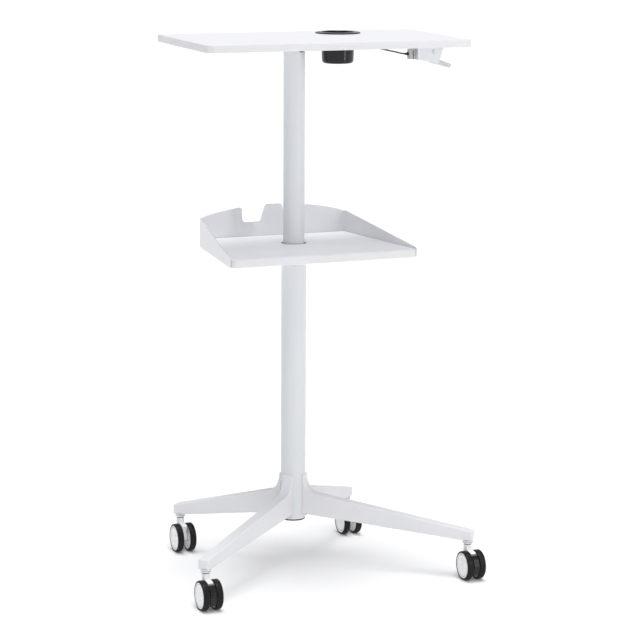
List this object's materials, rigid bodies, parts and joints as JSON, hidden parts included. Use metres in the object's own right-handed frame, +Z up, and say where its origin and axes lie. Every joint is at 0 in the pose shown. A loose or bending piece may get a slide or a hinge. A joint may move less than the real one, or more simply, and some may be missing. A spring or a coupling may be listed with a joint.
{
  "type": "lectern stand",
  "caption": "Mobile white lectern: flat worktop with a cup holder on a gas-lift column, shelf with a folded gallery, and a four-arm base on twin-wheel casters.",
  "frame": {"origin": "on the floor, under the middle of the whole object's bounding box", "axes": "+Z up, +X to the user's right, +Y away from the user, towards the back of the shelf"},
  "size_m": [0.6668, 0.5203, 1.2033],
  "materials": {
    "laminate": "white melamine laminate, satin",
    "powder": "white powder coat, fine texture, satin",
    "black": "black moulded plastic, satin",
    "cable": "black cable sheath",
    "tyre": "black tread, satin",
    "white_plastic": "white moulded plastic, satin",
    "grey_plastic": "mid-grey moulded plastic, satin",
    "steel": "bright plated steel",
    "dark_steel": "dark coated steel"
  },
  "bodies": {
    "base": {"lower_tube": "powder", "guide_bush": "black", "gas_spring_cylinder": "dark_steel", "column_foot_plug": "black", "foot_screw": "dark_steel", "shelf_board": "laminate", "shelf_gallery": "powder", "shelf_plate": "powder", "base_arm_front_left": "powder", "base_arm_front_right": "powder", "base_arm_rear_left": "powder", "base_arm_rear_right": "powder", "caster_stem_front_left": "steel", "caster_stem_front_right": "steel", "caster_stem_rear_left": "steel", "caster_stem_rear_right": "steel"},
    "gas_spring_rod": {"gas_spring_rod": "steel"},
    "top": {"upper_tube": "powder", "tube_glide": "black", "release_head": "dark_steel", "top_plate": "powder", "top_screw_1": "steel", "top_screw_2": "steel", "top_screw_3": "steel", "top_screw_4": "steel", "worktop": "laminate", "cup_holder": "black", "lever_bracket": "powder", "lever_pin": "steel", "release_cable": "cable", "cable_stop": "grey_plastic", "cable_clip": "black"},
    "release_lever": {"release_lever": "powder"},
    "release_button": {"release_button": "steel"},
    "caster_front_left": {"caster_housing_front_left": "white_plastic", "caster_axle_front_left": "steel"},
    "wheel_front_left_left": {"caster_wheel_front_left_left": "white_plastic", "caster_tyre_front_left_left": "tyre"},
    "wheel_front_left_right": {"caster_wheel_front_left_right": "white_plastic", "caster_tyre_front_left_right": "tyre"},
    "pedal_front_left": {"brake_pedal_front_left": "black"},
    "caster_front_right": {"caster_housing_front_right": "white_plastic", "caster_axle_front_right": "steel"},
    "wheel_front_right_left": {"caster_wheel_front_right_left": "white_plastic", "caster_tyre_front_right_left": "tyre"},
    "wheel_front_right_right": {"caster_wheel_front_right_right": "white_plastic", "caster_tyre_front_right_right": "tyre"},
    "pedal_front_right": {"brake_pedal_front_right": "black"},
    "caster_rear_left": {"caster_housing_rear_left": "white_plastic", "caster_axle_rear_left": "steel"},
    "wheel_rear_left_left": {"caster_wheel_rear_left_left": "white_plastic", "caster_tyre_rear_left_left": "tyre"},
    "wheel_rear_left_right": {"caster_wheel_rear_left_right": "white_plastic", "caster_tyre_rear_left_right": "tyre"},
    "caster_rear_right": {"caster_housing_rear_right": "white_plastic", "caster_axle_rear_right": "steel"},
    "wheel_rear_right_left": {"caster_wheel_rear_right_left": "white_plastic", "caster_tyre_rear_right_left": "tyre"},
    "wheel_rear_right_right": {"caster_wheel_rear_right_right": "white_plastic", "caster_tyre_rear_right_right": "tyre"}
  },
  "joints": [
    {"name": "column_lift", "type": "slide", "parent": "base", "child": "gas_spring_rod", "axis": [0, 0, 1], "range_m": [-0.39, 0]},
    {"name": "worktop_turn", "type": "hinge", "parent": "gas_spring_rod", "child": "top", "pos_m": [0, 0.06223, 1.16], "axis": [0, 0, 1], "range_deg": [-13, 17]},
    {"name": "lever_pull", "type": "hinge", "parent": "top", "child": "release_lever", "pos_m": [0.21271, -0.19334, 1.174], "axis": [-0.0349, -0.9994, 0], "range_deg": [0, 22], "stiffness_Nm_per_rad": 1, "springref_deg": -5.73},
    {"name": "button_press", "type": "slide", "parent": "gas_spring_rod", "child": "release_button", "axis": [0, 0, -1], "range_m": [0, 0.003]},
    {"name": "swivel_front_left", "type": "hinge", "parent": "base", "child": "caster_front_left", "pos_m": [-0.31092, -0.209, 0.08], "axis": [0, 0, 1], "continuous": true},
    {"name": "spin_front_left_left", "type": "hinge", "parent": "caster_front_left", "child": "wheel_front_left_left", "pos_m": [-0.32592, -0.2277, 0.0325], "axis": [1, 0, 0], "continuous": true},
    {"name": "spin_front_left_right", "type": "hinge", "parent": "caster_front_left", "child": "wheel_front_left_right", "pos_m": [-0.29592, -0.2277, 0.0325], "axis": [1, 0, 0], "continuous": true},
    {"name": "brake_front_left", "type": "hinge", "parent": "caster_front_left", "child": "pedal_front_left", "pos_m": [-0.31092, -0.24371, 0.05299], "axis": [1, 0, 0], "range_deg": [0, 8]},
    {"name": "swivel_front_right", "type": "hinge", "parent": "base", "child": "caster_front_right", "pos_m": [0.31092, -0.209, 0.08], "axis": [0, 0, 1], "continuous": true},
    {"name": "spin_front_right_left", "type": "hinge", "parent": "caster_front_right", "child": "wheel_front_right_left", "pos_m": [0.29592, -0.2277, 0.0325], "axis": [1, 0, 0], "continuous": true},
    {"name": "spin_front_right_right", "type": "hinge", "parent": "caster_front_right", "child": "wheel_front_right_right", "pos_m": [0.32592, -0.2277, 0.0325], "axis": [1, 0, 0], "continuous": true},
    {"name": "brake_front_right", "type": "hinge", "parent": "caster_front_right", "child": "pedal_front_right", "pos_m": [0.31092, -0.24371, 0.05299], "axis": [1, 0, 0], "range_deg": [0, 8]},
    {"name": "swivel_rear_left", "type": "hinge", "parent": "base", "child": "caster_rear_left", "pos_m": [-0.20836, 0.244, 0.08], "axis": [0, 0, 1], "continuous": true},
    {"name": "spin_rear_left_left", "type": "hinge", "parent": "caster_rear_left", "child": "wheel_rear_left_left", "pos_m": [-0.22336, 0.2253, 0.0325], "axis": [1, 0, 0], "continuous": true},
    {"name": "spin_rear_left_right", "type": "hinge", "parent": "caster_rear_left", "child": "wheel_rear_left_right", "pos_m": [-0.19336, 0.2253, 0.0325], "axis": [1, 0, 0], "continuous": true},
    {"name": "swivel_rear_right", "type": "hinge", "parent": "base", "child": "caster_rear_right", "pos_m": [0.20836, 0.244, 0.08], "axis": [0, 0, 1], "continuous": true},
    {"name": "spin_rear_right_left", "type": "hinge", "parent": "caster_rear_right", "child": "wheel_rear_right_left", "pos_m": [0.19336, 0.2253, 0.0325], "axis": [1, 0, 0], "continuous": true},
    {"name": "spin_rear_right_right", "type": "hinge", "parent": "caster_rear_right", "child": "wheel_rear_right_right", "pos_m": [0.22336, 0.2253, 0.0325], "axis": [1, 0, 0], "continuous": true}
  ],
  "couplings": [
    {"joint": "button_press", "follows": "lever_pull", "m_per_rad": 0.0078}
  ]
}
